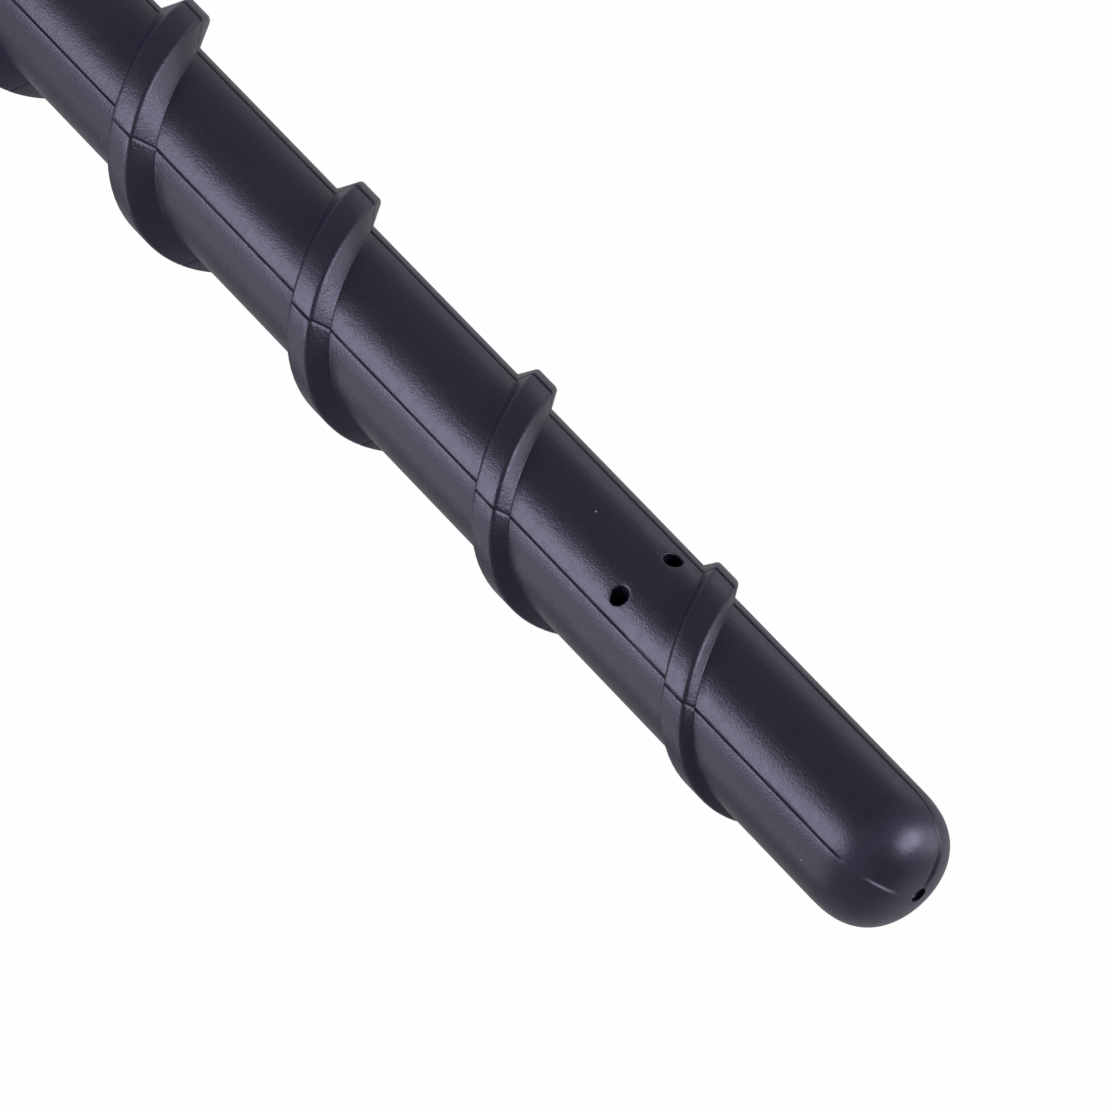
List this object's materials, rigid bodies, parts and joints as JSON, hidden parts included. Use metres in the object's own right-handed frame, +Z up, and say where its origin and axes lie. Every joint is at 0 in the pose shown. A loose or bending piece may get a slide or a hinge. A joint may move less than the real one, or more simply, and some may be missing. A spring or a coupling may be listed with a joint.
{
  "type": "car mast aerial",
  "caption": "Short screw-in car mast aerial: rubber-jacketed round mast with a tapering spiral rib, domed tip and plain collar on a threaded stud.",
  "frame": {"origin": "middle of the seat face at the foot of the collar, where the stud comes out", "axes": "+Z up along the mast to its tip; the stud points to -Z; -Y faces the two pin holes that the picture shows"},
  "size_m": [0.0162, 0.0162, 0.189],
  "materials": {
    "jacket_rubber": "satin moulded",
    "rod_fibreglass": "pultruded",
    "wire_copper": "enamelled",
    "ferrule_plated_brass": "nickel plated"
  },
  "bodies": {
    "root": {"mast_jacket": "jacket_rubber", "core_rod": "rod_fibreglass", "radiator_wire": "wire_copper", "threaded_ferrule": "ferrule_plated_brass"}
  },
  "joints": []
}
